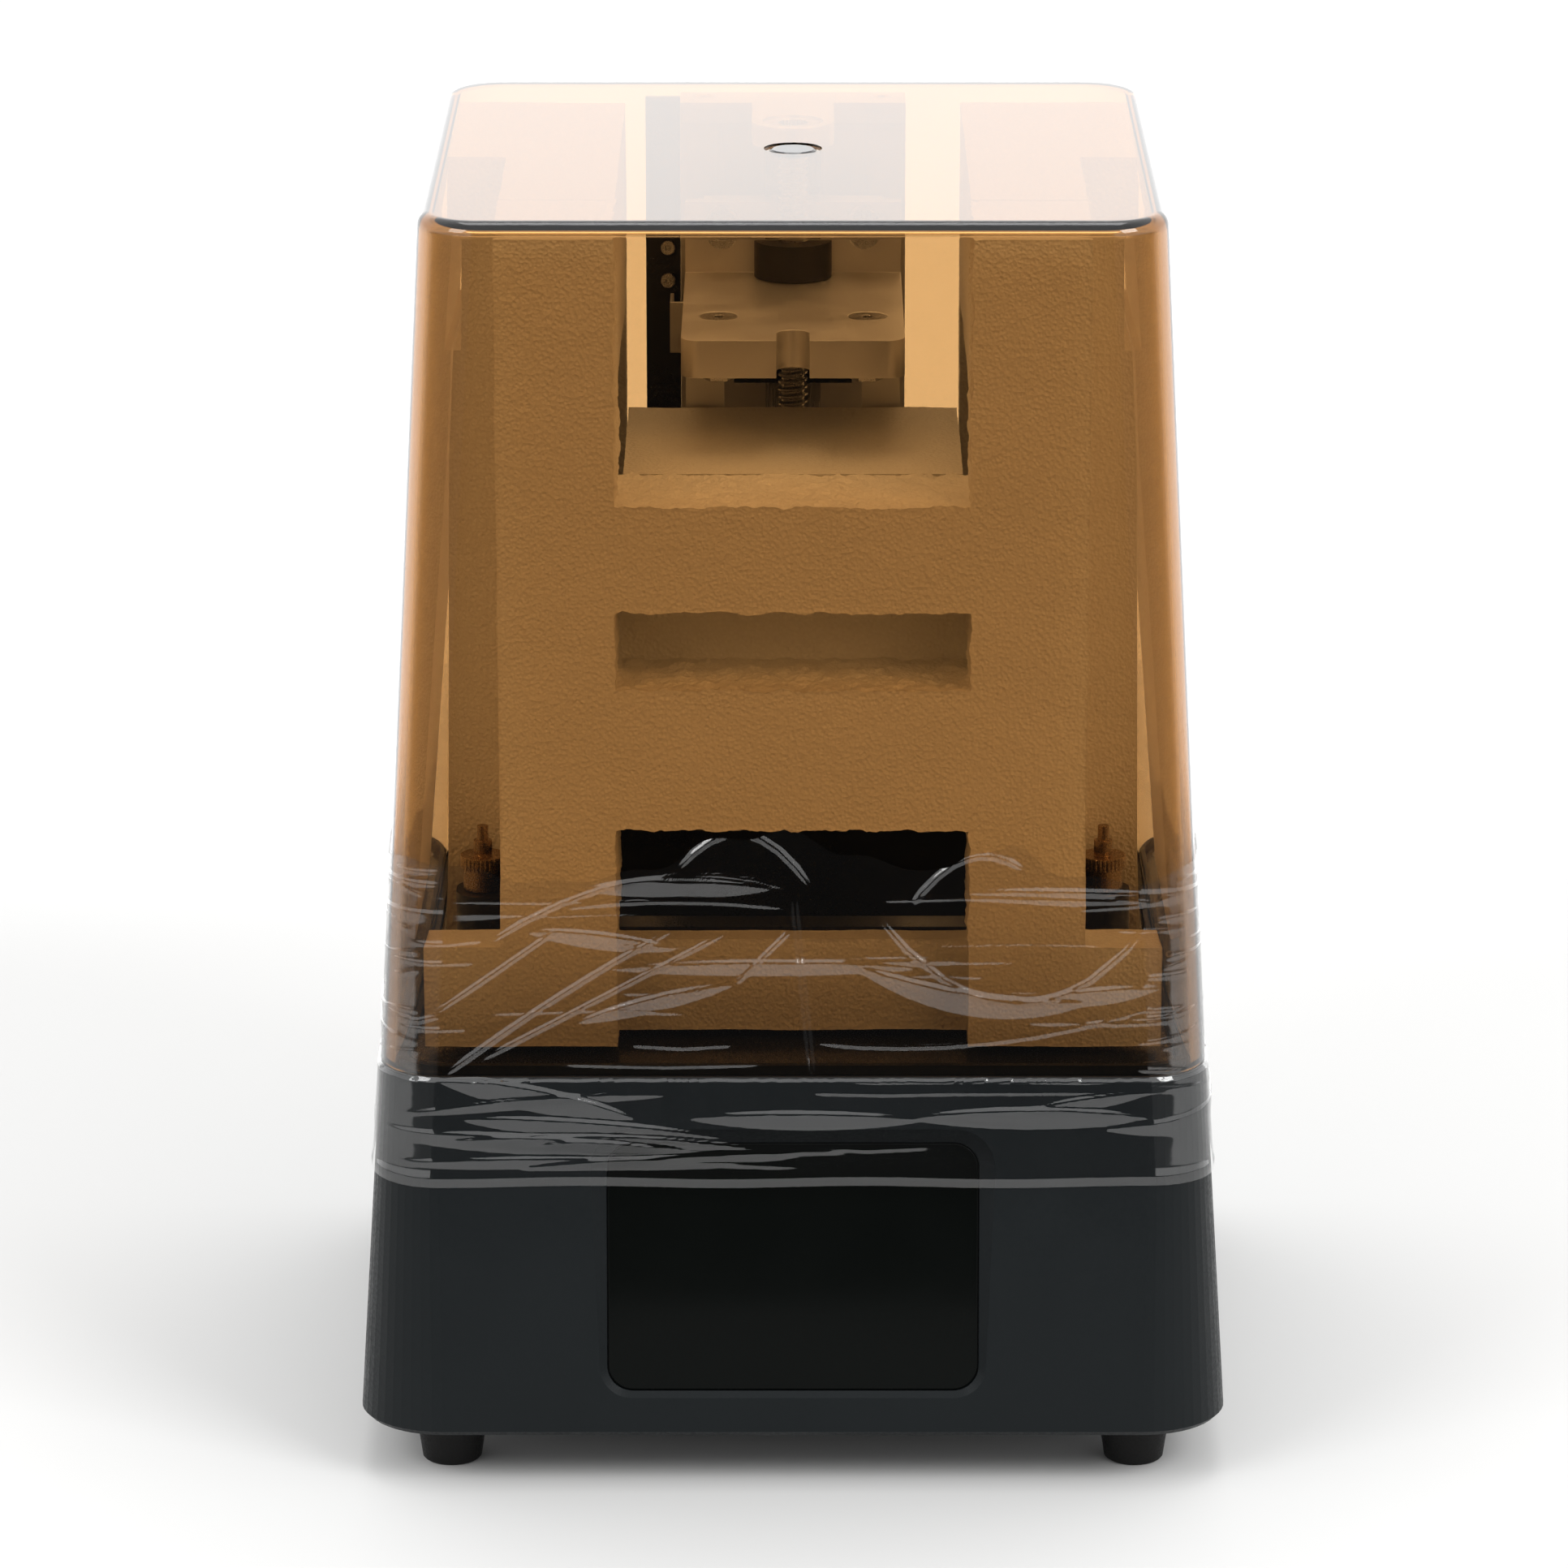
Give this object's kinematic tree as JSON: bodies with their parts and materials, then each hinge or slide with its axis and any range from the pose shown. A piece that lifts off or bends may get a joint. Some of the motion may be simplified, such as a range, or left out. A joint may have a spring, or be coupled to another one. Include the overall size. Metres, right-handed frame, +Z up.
{
  "type": "desktop resin printer",
  "caption": "Desktop resin printer: tapered dark base with touch screen, vat and masking display, single-screw Z axis with build plate, amber lift-off cover with packing foam and film.",
  "frame": {"origin": "centre of the base's footprint on the floor", "axes": "+Z up, front (touch screen) towards -Y, +X to the viewer's right from the front"},
  "size_m": [0.2242, 0.2242, 0.33],
  "materials": {
    "base_plastic": "fine moulded texture, satin",
    "black_plastic": "moulded black plastic",
    "foot_rubber": "matt rubber",
    "deck_metal": "black powder coat",
    "steel": "bright zinc and stainless fasteners",
    "seal_rubber": "soft black rubber",
    "screen_black_glass": "black glass, polished",
    "circuit_board": "green solder mask",
    "display_glass": "masking display glass",
    "clear_optics": "clear moulded lenses",
    "reflector": "polished reflector",
    "white_board": "white solder mask",
    "aluminium": "bead blasted, clear anodised",
    "brass": "turned brass",
    "cable": "flat polyimide ribbon",
    "bearing_steel": "ground steel",
    "screw_steel": "rolled trapezoidal thread",
    "platform_metal": "sanded aluminium",
    "vat_black": "black anodised",
    "film_clear": "clear release film",
    "nut_black": "black acetal",
    "cover_amber": "polished amber acrylic",
    "plug_amber": "moulded sprue disc, polished",
    "foam_white": "expanded polyethylene foam",
    "stretch_film": "clear cling film"
  },
  "bodies": {
    "base": {"base_shell": "base_plastic", "bottom_plate": "deck_metal", "bottom_screws": "steel", "rubber_feet": "foot_rubber", "deck_plate": "deck_metal", "deck_screws": "steel", "cover_seal": "seal_rubber", "screen_glass": "screen_black_glass", "screen_module": "circuit_board", "mask_lcd": "display_glass", "lens_array": "clear_optics", "light_tunnel": "reflector", "led_board": "white_board", "led_heatsink": "aluminium", "standoffs": "brass", "led_fan_frame": "black_plastic", "main_board": "circuit_board", "flat_cables": "cable", "rear_panel": "deck_metal", "dc_inlet": "black_plastic", "usb_port": "steel", "switch_housing": "black_plastic", "rear_fan_frame": "black_plastic", "rear_fan_guard": "steel", "fan_screws": "steel", "z_column": "aluminium", "column_cap": "aluminium", "column_screws": "steel", "top_bearing": "bearing_steel", "linear_rail": "bearing_steel", "z_motor": "black_plastic", "sensor_plate": "vat_black", "sensor_screws": "steel", "limit_switch": "black_plastic", "vat_frame": "vat_black", "film_frame": "vat_black", "release_film": "film_clear", "vat_screws": "steel"},
    "cover": {"cover_shell": "cover_amber", "cover_plug": "plug_amber", "packing_foam_front": "foam_white", "packing_foam_left": "foam_white", "packing_foam_right": "foam_white", "packing_film": "stretch_film"},
    "carriage": {"rail_block": "vat_black", "saddle_plate": "aluminium", "platform_arm": "aluminium", "arm_bolts": "steel", "platform_screws": "steel", "platform_bracket": "aluminium", "build_plate": "platform_metal", "build_plate_screws": "steel", "lead_nut": "nut_black", "packing_foam_pad": "foam_white"},
    "screw": {"lead_screw": "screw_steel"},
    "led_fan": {"led_fan_rotor": "black_plastic"},
    "rear_fan": {"rear_fan_rotor": "black_plastic"},
    "rocker": {"power_rocker": "black_plastic"},
    "knob_left": {"thumbscrew_left": "brass"},
    "knob_right": {"thumbscrew_right": "brass"}
  },
  "joints": [
    {"name": "cover_lift", "type": "slide", "parent": "base", "child": "cover", "axis": [0, 0, 1], "range_m": [0, 0.225]},
    {"name": "z_travel", "type": "slide", "parent": "base", "child": "carriage", "axis": [0, 0, 1], "range_m": [-0.1134, 0.0166]},
    {"name": "screw_spin", "type": "hinge", "parent": "base", "child": "screw", "pos_m": [0, 0.05, 0.2], "axis": [0, 0, 1], "range_deg": [-2990, 20415]},
    {"name": "led_fan_spin", "type": "hinge", "parent": "base", "child": "led_fan", "pos_m": [0, -0.012, 0.024], "axis": [0, 0, 1], "continuous": true},
    {"name": "rear_fan_spin", "type": "hinge", "parent": "base", "child": "rear_fan", "pos_m": [-0.045, 0.092, 0.063], "axis": [0, 1, 0], "continuous": true},
    {"name": "rocker_tilt", "type": "hinge", "parent": "base", "child": "rocker", "pos_m": [0.066, 0.103, 0.063], "axis": [1, 0, 0], "range_deg": [0, 18]},
    {"name": "knob_left_turn", "type": "hinge", "parent": "base", "child": "knob_left", "pos_m": [-0.0824, -0.012, 0.13], "axis": [0, 0, 1], "range_deg": [0, 1440]},
    {"name": "knob_right_turn", "type": "hinge", "parent": "base", "child": "knob_right", "pos_m": [0.0824, -0.012, 0.13], "axis": [0, 0, 1], "range_deg": [0, 1440]}
  ],
  "couplings": [
    {"joint": "screw_spin", "follows": "z_travel", "rad_per_m": -3141.6}
  ]
}
